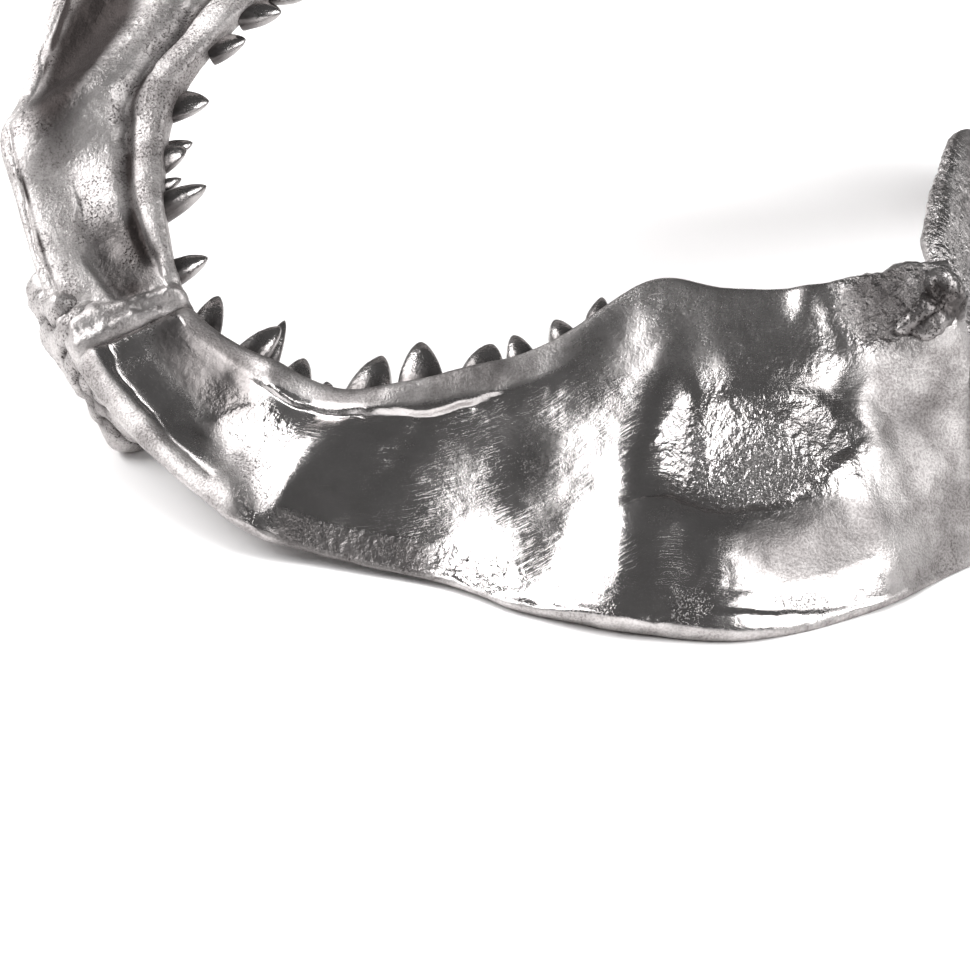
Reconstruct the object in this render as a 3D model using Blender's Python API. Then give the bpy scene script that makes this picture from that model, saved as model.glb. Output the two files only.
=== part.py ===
"""Shark jaw cast in aluminium, fixed wide open and resting on its right side.

The jaw is drawn in its own frame, in millimetres:
  out   away from the jaw's middle plane (the right half is at +out),
  back  from the front of the lower jaw towards the jaw joints,
  rise  out of the lower jaw's flat hoop, the way its outer faces look.
The upper jaw is drawn in the same way, with back measured forwards from the joints, and is then folded
about the line through the two joints.
"""
import math

import bmesh
import bpy
import numpy as np
from mathutils import Euler, Vector

MM = 0.001
GAP = 0.3

# How the cast lies: the turn of the jaw's frame, and where the lower tooth line's middle comes to rest.
POSE_DEGREES = (29.8, 25.1, -58.4)
POSE_PLACE = (-140.38, -57.47, 49.9)
FLOOR_SIZE = (900.0, 900.0, 60.0)

# The jaw joints and the gape.
JOINT_BACK = 207.0
FOLD_DEGREES = 56.0

# One row a station, from the front of the jaw to the joint:
# tooth line (out, back, rise), plate edge (out, back, rise), and thickness at the lip, plate and edge.
LOWER_STATIONS = (
    (0, 0, 0, 0, -43, 6, 17, 15, 12),
    (36, 10, 7, 83, -27, 10, 14, 11, 8),
    (68, 30, 8, 109, -10, 7, 13, 9, 7),
    (84, 63, 11, 142, 19, 5, 12, 8, 6),
    (90, 91, 9, 172, 37, 10, 11, 8, 6),
    (89, 129, 7, 201, 66, 7, 10, 8, 6),
    (107, 148, 8, 218, 92, 1, 10, 8, 6),
    (123, 172, 6, 220, 128, -19, 11, 9, 6),
    (132, 203, 0, 209, 174, -50, 14, 10, 7),
)
UPPER_STATIONS = (
    (0, 208, 0, 0, 244, -25, 15, 13, 10),
    (32, 200, 3, 54, 239, -36, 13, 10, 9),
    (56, 178, 5, 94, 206, -26, 12, 9, 7),
    (68, 146, 6, 120, 172, -24, 11, 8, 6),
    (70, 108, 6, 144, 128, -30, 11, 8, 6),
    (58, 80, 5, 166, 84, -38, 10, 8, 6),
    (86, 44, 4, 186, 46, -36, 12, 9, 6),
    (122, 9, 0, 194, 12, -26, 14, 10, 7),
)

# The front of the upper left plate is turned up flatter than that of the right one.
UPPER_LEFT_STATIONS = (UPPER_STATIONS[0],) + (
    (32, 200, 3, 54, 238, -24, 13, 10, 9),
    (56, 178, 5, 91, 205, -6, 12, 9, 7),
    (68, 146, 6, 120, 172, -16, 11, 8, 6),
) + UPPER_STATIONS[4:]

# Forms raised (+) or sunk (-) on the outer face of a plate: station, place across the plate from tooth
# line (0) to edge (1), half length in stations, half width, lean in stations per plate width, height.
LOWER_FORMS = (
    ("front corner ridge", 1.55, 0.50, 0.32, 0.60, -0.9, 4.5),
    ("hollow beside the middle", 0.75, 0.40, 0.45, 0.35, 0.0, -4.5),
    ("trough under the lip", 3.0, 0.22, 1.3, 0.13, 0.0, -3.0),
    ("ridge down from the hump", 4.65, 0.45, 0.42, 0.50, -0.6, 3.5),
    ("valley behind the ridge", 5.40, 0.50, 0.35, 0.26, -0.3, -1.6),
    ("muscle hollow", 6.25, 0.48, 0.75, 0.20, 0.0, -5.0),
    ("crest over the muscle hollow", 6.3, 0.25, 0.9, 0.08, 0.0, 2.5),
    ("swelling below the muscle hollow", 6.0, 0.74, 1.2, 0.10, 0.0, 2.5),
)
UPPER_FORMS = (
    ("front corner ridge", 1.6, 0.55, 0.35, 0.60, 0.3, 4.0),
    ("hollow beside the middle", 0.8, 0.45, 0.45, 0.35, 0.0, -3.0),
    ("trough under the lip", 3.2, 0.25, 1.5, 0.14, 0.0, -2.5),
    ("muscle hollow", 5.3, 0.50, 0.80, 0.24, 0.0, -4.0),
)

# Teeth: station, length above the lip, width at the root, lean towards the joint in degrees, and how far
# the root stands behind the lip. The real jaw's two lower halves differ, so each has its own list.
LOWER_RIGHT_TEETH = (
    (0.20, 14.0, 9.5, -38, 2),
    (0.83, 18.5, 12.5, 24, 2),
    (0.95, 21.5, 8.0, 8, 6),
    (1.35, 9.5, 10.5, 8, 2),
    (1.67, 4.5, 6.5, -20, 2),
    (2.07, 16.7, 14.5, 0, 2),
    (2.56, 18.2, 14.5, -14, 2),
    (3.16, 10.5, 13.0, 6, 2),
    (3.62, 10.5, 9.0, -22, 2),
    (4.12, 9.8, 10.0, -22, 2),
    (4.47, 7.7, 7.5, 5, 2),
)
LOWER_LEFT_TEETH = (
    (0.45, 13.0, 10.0, 27, 2),
    (1.08, 21.5, 12.5, 40, 2),
    (1.31, 7.5, 6.5, 45, 3),
    (1.58, 8.5, 10.0, 46, 2),
    (1.73, 8.0, 7.5, 40, 6),
    (2.13, 9.5, 10.5, 24, 2),
    (2.78, 8.5, 9.5, 40, 2),
    (3.30, 10.0, 11.0, 20, 2),
    (3.78, 8.5, 10.0, 5, 2),
    (4.25, 7.0, 8.0, 0, 2),
)
UPPER_TEETH = (
    (0.30, 13.0, 11.0, 12, 2),
    (0.92, 15.0, 12.0, 18, 2),
    (1.50, 14.0, 12.0, 18, 2),
    (2.10, 12.5, 12.0, 14, 2),
    (2.70, 11.0, 11.0, 8, 2),
    (3.30, 9.0, 10.0, 4, 2),
    (3.90, 7.0, 9.0, 0, 2),
)

# Lumpy bodies of gristle: centre, half sizes, and lumps as (direction, spread in degrees, height).
LOWER_MIDDLE = ((-13, -35, -14), (34, 15, 26), (
    ((-0.9, -0.3, 0.3), 32, 5), ((0.6, -0.6, -0.4), 30, 2),
    ((-0.1, -1.0, -0.1), 34, -5), ((0.1, 0.1, -1.0), 34, 8)))
UPPER_MIDDLE = ((0, 233, -14), (27, 17, 19), (
    ((-0.6, 0.5, 0.6), 36, 3), ((0.6, 0.5, 0.6), 36, 3), ((0, 0.9, 0.3), 26, -3)))
JOINT_LUMP = ((140, 197, -9), (15, 15, 12), (
    ((0.6, -0.4, 0.6), 36, 2), ((0.0, -0.2, 1.0), 26, -2), ((0.2, 0.8, 0.3), 40, 2)))

# How the thickness runs across a plate: how far in the lip and the edge reach, how square the section is,
# and the share of the outer face's forms that shows on the inner face.
LIP_REACH = 0.12
EDGE_REACH = 0.10
SQUARENESS = 0.45
INNER_SHARE = 0.6

STEPS_A_STATION = 3
SECTION_POINTS = 18
SLOPE_STEP = 0.05
JOINT_MESH = (22, 12)
MIDDLE_MESH = (26, 14)

# A tooth: sides, (place along it, share of the root width), depth to width, bend and how deep it is sunk.
TOOTH_SIDES = 6
TOOTH_TAPER = ((0.0, 1.0), (0.45, 0.84), (0.80, 0.52), (0.97, 0.22))
TOOTH_FLATNESS = 0.7
TOOTH_BEND = 1.5
ROOT_DEPTH = 5.0

CAST = {"color": (0.52, 0.51, 0.50, 1.0), "roughness": 0.3, "metallic": 1.0}


def smooth_row(rows, s):
    """The row at station s on a smooth curve through all rows; the front is mirrored at the middle plane."""
    table = np.asarray(rows, float)
    before_front = table[1] * np.array([-1, 1, 1, -1, 1, 1, 1, 1, 1])
    past_joint = 2 * table[-1] - table[-2]
    padded = np.vstack([before_front, table, past_joint])
    i = min(int(s), len(table) - 2)
    f = s - i
    a, b, c, d = padded[i:i + 4]
    return 0.5 * (2 * b + (c - a) * f + (2 * a - 5 * b + 4 * c - d) * f**2 + (3 * b - a - 3 * c + d) * f**3)


def relief(forms, s, q):
    """Height of the outer face's forms at station s and place q across the plate."""
    height = 0.0
    for _, at_s, at_q, half_s, half_q, lean, rise in forms:
        x = (s - at_s - lean * (q - at_q)) / half_s
        y = (q - at_q) / half_q
        height += rise * math.exp(-x * x - y * y)
    return height


def plate_axes(rows, s):
    """Tooth line point, vector across to the edge, unit vector along the arm and unit outward face normal."""
    row = smooth_row(rows, s)
    last = len(rows) - 1
    ahead = smooth_row(rows, min(s + SLOPE_STEP, last))
    behind = smooth_row(rows, max(s - SLOPE_STEP, 0.0))
    along = (ahead[:3] + ahead[3:6] - behind[:3] - behind[3:6])
    along /= np.linalg.norm(along)
    across = row[3:6] - row[:3]
    normal = np.cross(across, along)
    normal *= math.copysign(1.0, normal[2]) / np.linalg.norm(normal)
    return row, across, along, normal


def section(rows, forms, s, points):
    """One closed section of an arm: over the outer face to the edge and back along the inner face."""
    row, across, _, normal = plate_axes(rows, s)
    lip, plate, edge = row[6:9]
    ring = []
    for k in range(points):
        turn = 2 * math.pi * k / points
        q = (1 - math.cos(turn)) / 2
        side = math.sin(turn)
        half = 0.5 * (plate + (lip - plate) * math.exp(-(q / LIP_REACH) ** 2)
                      + (edge - plate) * math.exp(-((1 - q) / EDGE_REACH) ** 2))
        swell = math.copysign(abs(side) ** SQUARENESS, side)
        form = relief(forms, s, q) * abs(swell)
        offset = half * swell + (form if side > 0 else INNER_SHARE * form)
        ring.append(row[:3] + across * q + normal * offset)
    return ring


def new_object(name, bm, collection):
    """An object named as its node, from a bmesh in millimetres."""
    bmesh.ops.scale(bm, vec=(MM, MM, MM), verts=bm.verts)
    bmesh.ops.recalc_face_normals(bm, faces=bm.faces)
    mesh = bpy.data.meshes.new(name)
    bm.to_mesh(mesh)
    bm.free()
    made = bpy.data.objects.new(name, mesh)
    collection.objects.link(made)
    return made


def loft(bm, rings):
    """Faces between the rings, with a fan over each end."""
    rows = [[bm.verts.new(p) for p in ring] for ring in rings]
    count = len(rows[0])
    for low, high in zip(rows, rows[1:]):
        for k in range(count):
            n = (k + 1) % count
            bm.faces.new((low[k], low[n], high[n], high[k]))
    for row in (rows[0], rows[-1]):
        middle = bm.verts.new(sum((v.co for v in row), Vector()) / count)
        for k in range(count):
            bm.faces.new((row[k], row[(k + 1) % count], middle))


def arm_bmesh(rows, forms, side):
    """One half of a jaw, without its teeth; side is +1 for the right half and -1 for the left."""
    last = len(rows) - 1
    rings = []
    for s in np.linspace(0, last, last * STEPS_A_STATION + 1):
        ring = section(rows, forms, s, SECTION_POINTS)
        rings.append([Vector((side * max(p[0], GAP / 2), p[1], p[2])) for p in ring])
    bm = bmesh.new()
    loft(bm, rings)
    return bm


def tooth_bmesh(rows, tooth, side):
    """One tooth: a blunt cone of oval section, sunk in the lip, that bends a little back into the mouth."""
    s, height, width, lean, behind = tooth
    row, across, along, normal = plate_axes(rows, s)
    inward = -across / np.linalg.norm(across)
    axis = inward * math.cos(math.radians(lean)) + along * math.sin(math.radians(lean))
    depth = np.cross(along, axis)
    depth /= np.linalg.norm(depth)
    breadth = np.cross(axis, depth)
    root = row[:3] - normal * behind - axis * ROOT_DEPTH
    length = height + ROOT_DEPTH
    rings = []
    for place, size in TOOTH_TAPER:
        centre = root + axis * length * place - normal * TOOTH_BEND * place * place
        ring = []
        for k in range(TOOTH_SIDES):
            turn = 2 * math.pi * k / TOOTH_SIDES
            ring.append(centre + breadth * math.cos(turn) * width * size / 2
                        + depth * math.sin(turn) * width * size * TOOTH_FLATNESS / 2)
        rings.append([Vector(p * np.array([side, 1, 1])) for p in ring])
    bm = bmesh.new()
    loft(bm, rings)
    return bm


def lump_bmesh(lump, side, grow, across, down):
    """A rounded body with swellings; grow widens it evenly, for the thin cut round it."""
    centre, half, swellings = lump
    bm = bmesh.new()
    bmesh.ops.create_uvsphere(bm, u_segments=across, v_segments=down, radius=1.0)
    for vert in bm.verts:
        way = np.array(vert.co.normalized())
        point = way * np.array(half)
        for direction, spread, height in swellings:
            aim = np.array(direction, float)
            aim /= np.linalg.norm(aim)
            angle = math.degrees(math.acos(max(-1.0, min(1.0, float(way @ aim)))))
            point = point + way * height * math.exp(-(angle / spread) ** 2)
        normal = way / np.array(half)
        normal /= np.linalg.norm(normal)
        point = (point + normal * grow + np.array(centre)) * np.array([side, 1, 1])
        vert.co = Vector(point)
    return bm


def joined(target, tools):
    """The union of an object with others, as its own mesh; the others are removed."""
    for tool in tools:
        union = target.modifiers.new("join", "BOOLEAN")
        union.operation = "UNION"
        union.solver = "EXACT"
        union.object = tool
    bpy.context.view_layer.update()
    graph = bpy.context.evaluated_depsgraph_get()
    mesh = bpy.data.meshes.new_from_object(target.evaluated_get(graph))
    target.modifiers.clear()
    target.data = mesh
    mesh.name = target.name
    for tool in tools:
        bpy.data.objects.remove(tool)
    return target


def cut(target, cutter):
    """A live thin cut or flat on an object."""
    difference = target.modifiers.new("cut " + cutter.name, "BOOLEAN")
    difference.operation = "DIFFERENCE"
    difference.solver = "EXACT"
    difference.object = cutter


def as_cutter(thing):
    """Marks an object as a tool that isn't part of the jaw."""
    thing.hide_render = True
    thing.display_type = "WIRE"
    return thing


def cast_material(name):
    """Cast aluminium, for one sub-part."""
    material = bpy.data.materials.new(name)
    material.use_nodes = True
    shader = material.node_tree.nodes["Principled BSDF"]
    shader.inputs["Base Color"].default_value = CAST["color"]
    shader.inputs["Roughness"].default_value = CAST["roughness"]
    shader.inputs["Metallic"].default_value = CAST["metallic"]
    return material


def half_jaw(name, rows, forms, teeth, side, collection):
    """One half of the lower or upper jaw with its teeth."""
    arm = new_object(name, arm_bmesh(rows, forms, side), collection)
    roots = [new_object(f"{name}_tooth_{k}", tooth_bmesh(rows, tooth, side), collection)
             for k, tooth in enumerate(teeth)]
    return joined(arm, roots)


def empty(name, parent, collection):
    """A frame to hang the jaws in."""
    made = bpy.data.objects.new(name, None)
    made.parent = parent
    collection.objects.link(made)
    return made


def build():
    """Makes every sub-part in its place."""
    for old in list(bpy.data.objects):
        bpy.data.objects.remove(old)
    parts = bpy.data.collections.new("shark_jaw")
    tools = bpy.data.collections.new("cutters")
    bpy.context.scene.collection.children.link(parts)
    bpy.context.scene.collection.children.link(tools)

    pose = empty("pose", None, parts)
    pose.rotation_euler = Euler([math.radians(a) for a in POSE_DEGREES])
    pose.location = Vector(POSE_PLACE) * MM
    gape = empty("gape", pose, parts)
    gape.location = Vector((0, JOINT_BACK, 0)) * MM
    gape.rotation_euler = Euler((-math.radians(FOLD_DEGREES), 0, 0))

    made = {}
    for side, word, teeth, upper_rows in (
            (1, "right", LOWER_RIGHT_TEETH, UPPER_STATIONS), (-1, "left", LOWER_LEFT_TEETH, UPPER_LEFT_STATIONS)):
        made["lower_" + word] = half_jaw(
            "lower_jaw_" + word, LOWER_STATIONS, LOWER_FORMS, teeth, side, parts)
        made["upper_" + word] = half_jaw(
            "upper_jaw_" + word, upper_rows, UPPER_FORMS, UPPER_TEETH, side, parts)
        made["joint_" + word] = new_object(
            "jaw_joint_" + word, lump_bmesh(JOINT_LUMP, side, 0, *JOINT_MESH), parts)
        grown = as_cutter(new_object(
            "around_joint_" + word, lump_bmesh(JOINT_LUMP, side, GAP, *JOINT_MESH), tools))
        grown.parent = pose
        made["lower_" + word].parent = pose
        made["joint_" + word].parent = pose
        made["upper_" + word].parent = gape
        cut(made["lower_" + word], grown)
        cut(made["upper_" + word], grown)

    for level, lump, parent in (("lower", LOWER_MIDDLE, pose), ("upper", UPPER_MIDDLE, gape)):
        middle = new_object(level + "_symphysis", lump_bmesh(lump, 1, 0, *MIDDLE_MESH), parts)
        middle.parent = parent
        grown = as_cutter(new_object(
            "around_%s_symphysis" % level, lump_bmesh(lump, 1, GAP, *MIDDLE_MESH), tools))
        grown.parent = parent
        made[level + "_middle"] = middle
        for word in ("right", "left"):
            cut(made[level + "_" + word], grown)

    floor = bmesh.new()
    bmesh.ops.create_cube(floor, size=1.0)
    bmesh.ops.scale(floor, vec=FLOOR_SIZE, verts=floor.verts)
    bmesh.ops.translate(floor, vec=(0, 0, -FLOOR_SIZE[2] / 2), verts=floor.verts)
    flats = as_cutter(new_object("floor_flats", floor, tools))
    for key in ("lower_right", "upper_right", "lower_middle"):
        cut(made[key], flats)

    for thing in made.values():
        thing.data.materials.clear()
        thing.data.materials.append(cast_material(thing.name + "_cast_aluminium"))
        thing.data.shade_smooth()
    bpy.context.view_layer.update()
    return made


build()
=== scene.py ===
"""Shark jaw cast in aluminium, lying wide open on its right side: the finished surfaces and the studio.

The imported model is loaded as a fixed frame, and each of its solids is replaced by a finely worked skin of
the same main shape. The jaw is drawn in its own frame, in millimetres, and then laid down:
  out   away from the jaw's middle plane (the right half is at +out),
  back  from the front of the lower jaw towards the jaw joints,
  rise  out of the lower jaw's flat hoop, the way its outer faces look.
"""

import math

import bpy
import numpy as np
from mathutils import Euler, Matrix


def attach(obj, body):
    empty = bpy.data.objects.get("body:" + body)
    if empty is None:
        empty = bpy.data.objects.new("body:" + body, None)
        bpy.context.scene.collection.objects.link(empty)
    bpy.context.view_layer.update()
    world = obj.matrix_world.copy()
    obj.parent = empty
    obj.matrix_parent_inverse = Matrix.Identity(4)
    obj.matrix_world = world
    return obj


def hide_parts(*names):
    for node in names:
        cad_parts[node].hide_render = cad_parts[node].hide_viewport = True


bl_info = {
    "name": "Cast shark jaw",
    "version": (1, 0, 0),
    "blender": (4, 5, 0),
    "location": "View3D > Sidebar > Shark jaw",
    "description": "Works the surfaces of a cast aluminium shark jaw and sets up its studio",
    "category": "Object",
}

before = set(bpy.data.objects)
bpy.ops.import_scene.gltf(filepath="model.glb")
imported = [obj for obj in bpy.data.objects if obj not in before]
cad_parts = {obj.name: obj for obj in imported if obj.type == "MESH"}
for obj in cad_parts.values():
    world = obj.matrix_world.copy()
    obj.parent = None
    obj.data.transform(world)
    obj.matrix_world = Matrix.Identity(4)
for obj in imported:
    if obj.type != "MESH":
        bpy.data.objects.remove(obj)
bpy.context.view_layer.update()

MM = 0.001

# How the cast lies, and half the gap between its halves, as in the part's source.
POSE_DEGREES = (29.8, 25.1, -58.4)
POSE_PLACE = (-140.38, -57.47, 49.9)
JOINT_BACK = 207.0
FOLD_DEGREES = 56.0
MIDDLE_GAP = 0.15

# One row a station, from the front of the jaw to the joint:
# tooth line (out, back, rise), plate edge (out, back, rise), and thickness at the lip, plate and edge.
LOWER_STATIONS = (
    (0, 0, 0, 0, -43, 6, 17, 15, 12),
    (36, 10, 7, 83, -27, 10, 14, 11, 8),
    (68, 30, 8, 109, -10, 7, 13, 9, 7),
    (84, 63, 11, 142, 19, 5, 12, 8, 6),
    (90, 91, 9, 172, 37, 10, 11, 8, 6),
    (89, 129, 7, 201, 66, 7, 10, 8, 6),
    (107, 148, 8, 218, 92, 1, 10, 8, 6),
    (123, 172, 6, 220, 128, -19, 11, 9, 6),
    (132, 203, 0, 209, 174, -50, 14, 10, 7),
)
UPPER_STATIONS = (
    (0, 208, 0, 0, 244, -25, 15, 13, 10),
    (32, 200, 3, 54, 239, -36, 13, 10, 9),
    (56, 178, 5, 94, 206, -26, 12, 9, 7),
    (68, 146, 6, 120, 172, -24, 11, 8, 6),
    (70, 108, 6, 144, 128, -30, 11, 8, 6),
    (58, 80, 5, 166, 84, -38, 10, 8, 6),
    (86, 44, 4, 186, 46, -36, 12, 9, 6),
    (122, 9, 0, 194, 12, -26, 14, 10, 7),
)

# The front of the upper left plate is turned up flatter than that of the right one.
UPPER_LEFT_STATIONS = (UPPER_STATIONS[0],) + (
    (32, 200, 3, 54, 238, -24, 13, 10, 9),
    (56, 178, 5, 91, 205, -6, 12, 9, 7),
    (68, 146, 6, 120, 172, -16, 11, 8, 6),
) + UPPER_STATIONS[4:]

# Forms raised (+) or sunk (-) on the outer face of a plate: name, station (s in the code), place across the
# plate (q) from tooth line (0) to edge (1), half length in stations, half width, lean in stations per plate
# width, height. Those of the lower arms differ from the solids' own in place and height, because they follow
# how the polished metal has to shine; the ridges stand higher.
LOWER_FORMS = (
    ("front corner ridge", 1.86, 0.48, 0.45, 0.60, -0.9, 7.2),
    ("hollow beside the middle", 0.75, 0.54, 0.45, 0.26, 0.0, -2.6),
    ("trough under the lip", 3.0, 0.22, 1.3, 0.13, 0.0, -3.0),
    ("ridge down from the hump", 4.98, 0.52, 0.42, 0.32, -0.3, 4.2),
    ("valley behind the ridge", 5.46, 0.50, 0.32, 0.26, -0.3, -2.2),
    ("muscle hollow", 6.35, 0.48, 0.85, 0.20, 0.0, -4.5),
    ("crest over the muscle hollow", 6.3, 0.25, 0.9, 0.08, 0.0, 2.5),
    ("swelling below the muscle hollow", 6.0, 0.74, 1.2, 0.10, 0.0, 2.5),
)
UPPER_FORMS = (
    ("front corner ridge", 1.6, 0.55, 0.35, 0.60, 0.3, 4.0),
    ("hollow beside the middle", 0.8, 0.45, 0.45, 0.35, 0.0, -3.0),
    ("trough under the lip", 3.2, 0.25, 1.5, 0.14, 0.0, -2.5),
    ("muscle hollow", 5.3, 0.50, 0.80, 0.24, 0.0, -4.0),
)

# Teeth: station, length above the lip, width at the root, lean towards the joint in degrees, and how far
# the root stands behind the lip.
LOWER_RIGHT_TEETH = (
    (0.20, 14.0, 9.5, -38, 2),
    (0.83, 18.5, 12.5, 24, 2),
    (0.95, 21.5, 8.0, 8, 6),
    (1.35, 9.5, 10.5, 8, 2),
    (1.67, 4.5, 6.5, -20, 2),
    (2.07, 16.7, 14.5, 0, 2),
    (2.56, 18.2, 14.5, -14, 2),
    (3.16, 10.5, 13.0, 6, 2),
    (3.62, 10.5, 9.0, -22, 2),
    (4.12, 9.8, 10.0, -22, 2),
    (4.47, 7.7, 7.5, 5, 2),
)
LOWER_LEFT_TEETH = (
    (0.45, 13.0, 10.0, 27, 2),
    (1.08, 21.5, 12.5, 40, 2),
    (1.31, 7.5, 6.5, 45, 3),
    (1.58, 8.5, 10.0, 46, 2),
    (1.73, 8.0, 7.5, 40, 6),
    (2.13, 9.5, 10.5, 24, 2),
    (2.78, 8.5, 9.5, 40, 2),
    (3.30, 10.0, 11.0, 20, 2),
    (3.78, 8.5, 10.0, 5, 2),
    (4.25, 7.0, 8.0, 0, 2),
)
UPPER_TEETH = (
    (0.30, 13.0, 11.0, 12, 2),
    (0.92, 15.0, 12.0, 18, 2),
    (1.50, 14.0, 12.0, 18, 2),
    (2.10, 12.5, 12.0, 14, 2),
    (2.70, 11.0, 11.0, 8, 2),
    (3.30, 9.0, 10.0, 4, 2),
    (3.90, 7.0, 9.0, 0, 2),
)

# Folds worked into the outer face: kind, name, path of (station, place across the plate), half width in mm,
# height in mm. A swell is round, a crease is sharp, and a step lifts one side of its path for a short way:
# the tooth line's side where the path runs towards the joint.
RIGHT_LOWER_FOLDS = (
    ("step", "soft shelf under the lip", ((0.2, 0.16), (0.7, 0.17), (1.2, 0.18)), 4.0, 0.6),
    ("step", "shelf under the lip", ((1.2, 0.18), (1.9, 0.18), (2.6, 0.18), (3.3, 0.15)), 1.6, 1.5),
    ("crease", "line under the lip", ((1.7, 0.20), (2.4, 0.20), (3.1, 0.18)), 1.6, -0.7),
    ("swell", "flattening below the hump", ((4.70, 0.16), (4.80, 0.24)), 10.0, -1.2),
    ("swell", "foot of the front ridge", ((2.45, 0.28), (2.20, 0.62)), 9.0, 1.6),
    ("swell", "hollow before the ridge", ((0.9, 0.30), (0.72, 0.62)), 9.0, -1.8),
    ("step", "edge of the front panel", ((0.95, 0.36), (0.80, 0.46), (0.62, 0.60), (0.55, 0.74)), 1.4, -0.9),
    ("swell", "rolled edge", ((0.0, 0.88), (0.5, 0.90), (1.0, 0.96)), 8.0, 3.2),
    ("crease", "fold inside the rolled edge", ((0.02, 0.74), (0.45, 0.80), (0.85, 0.86)), 2.2, -1.4),
    ("swell", "bulge in the muscle hollow", ((6.42, 0.46), (6.70, 0.54)), 16.0, 7.8),
    ("swell", "right bank of the muscle hollow", ((7.18, 0.36), (7.25, 0.54)), 7.0, 2.6),
    ("swell", "long trough", ((2.6, 0.36), (3.2, 0.34), (3.8, 0.30)), 11.0, -1.2),
    ("swell", "valley by the muscle hollow", ((5.46, 0.36), (5.42, 0.52), (5.36, 0.66)), 9.0, -1.0),
    ("step", "upper bank of the muscle hollow",
     ((5.15, 0.46), (5.5, 0.35), (6.1, 0.31), (6.8, 0.34), (7.05, 0.42)), 3.6, 1.2),
    ("step", "lower bank of the muscle hollow",
     ((5.02, 0.66), (5.7, 0.67), (6.4, 0.64), (7.0, 0.53)), 1.9, -2.2),
    ("crease", "line above the flange", ((4.9, 0.875), (5.5, 0.88), (6.4, 0.87), (7.0, 0.85)), 1.2, -0.35),
    ("swell", "flange roll", ((3.0, 0.93), (4.5, 0.94), (6.0, 0.94), (7.4, 0.92)), 5.5, 0.5),
    ("swell", "brow before the joint", ((6.88, 0.0), (6.84, 0.07)), 6.5, 2.0),
    ("swell", "hollow above the flange", ((4.05, 0.42), (4.02, 0.54)), 12.0, -1.8),
    ("swell", "bulge of the flange", ((4.85, 0.78), (4.75, 0.97)), 22.0, 6.8),
    ("swell", "easing of the flange", ((5.65, 0.78), (5.60, 0.97)), 16.0, 3.0),
    ("swell", "dip of the flange", ((2.8, 0.90), (2.8, 0.97)), 14.0, -1.0),
    ("swell", "flange before the joint", ((7.15, 0.82), (7.15, 0.97)), 14.0, 2.6),
    ("step", "thin lip of the flange", ((1.3, 0.972), (3.0, 0.978), (5.0, 0.982), (7.6, 0.982)), 0.8, -0.9),
    ("swell", "swelling under the joint", ((7.3, 0.04), (7.7, 0.10), (7.9, 0.20)), 13.0, 4.2),
    ("crease", "torn groove by the joint", ((7.35, 0.17), (7.6, 0.20), (7.8, 0.19)), 3.2, -3.6),
    ("swell", "hollow below the joint", ((7.0, 0.10), (7.05, 0.26), (7.2, 0.34)), 6.0, -1.2),
    ("swell", "right end roll", ((7.9, 0.35), (7.9, 0.7), (7.7, 0.95)), 7.0, -1.2),
)
LEFT_LOWER_FOLDS = (
    ("step", "shelf under the lip",
     ((0.35, 0.13), (0.8, 0.14), (1.3, 0.19), (2.0, 0.19), (3.2, 0.17), (5.0, 0.15)), 1.2, 1.8),
    ("swell", "groove under the lip",
     ((0.5, 0.17), (1.2, 0.22), (1.8, 0.25), (2.6, 0.24), (5.0, 0.21)), 3.4, -2.0),
    ("swell", "diagonal ridge", ((1.10, 0.90), (1.50, 0.72), (2.00, 0.50), (2.75, 0.38)), 12.0, 3.4),
    ("swell", "hollow below the ridge", ((1.00, 0.62), (1.35, 0.45), (1.70, 0.34)), 9.0, -1.6),
    ("swell", "dark diagonal hollow", ((2.2, 0.80), (2.7, 0.66), (3.3, 0.56), (4.4, 0.48)), 9.0, -1.8),
    ("step", "inner bank of the edge", ((1.6, 0.86), (2.3, 0.80), (3.2, 0.74), (4.6, 0.72)), 4.0, -1.0),
    ("crease", "crease along the edge",
     ((0.25, 0.88), (0.7, 0.93), (1.3, 0.93), (2.0, 0.90), (3.4, 0.88), (5.0, 0.9)), 1.0, -1.1),
    ("swell", "oval hollow", ((0.44, 0.28), (0.60, 0.42)), 9.0, -2.4),
    ("step", "rim of the oval hollow", ((0.28, 0.54), (0.50, 0.62), (0.80, 0.58)), 1.3, -1.2),
    ("crease", "line behind the folds", ((0.24, 0.26), (0.25, 0.55), (0.29, 0.85)), 2.4, -2.6),
    ("swell", "upper fold", ((0.15, 0.14), (0.20, 0.30), (0.16, 0.46), (0.20, 0.62)), 4.4, 2.2),
    ("swell", "short upper fold", ((0.17, 0.70), (0.13, 0.86)), 3.0, 1.8),
    ("swell", "inner fold", ((0.10, 0.20), (0.13, 0.38)), 3.6, 1.8),
    ("swell", "outer fold", ((0.12, 0.52), (0.08, 0.70), (0.13, 0.84)), 3.8, 2.2),
    ("crease", "line between the folds", ((0.07, 0.24), (0.11, 0.45), (0.07, 0.66), (0.11, 0.84)), 2.0, -2.2),
    ("swell", "lower fold", ((0.02, 0.28), (0.05, 0.46)), 2.6, 2.0),
    ("swell", "short lower fold", ((0.05, 0.56), (0.03, 0.74), (0.06, 0.92)), 2.8, 2.2),
    ("swell", "curled flake", ((0.05, 0.06), (0.16, 0.10)), 2.6, 1.4),
)
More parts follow.
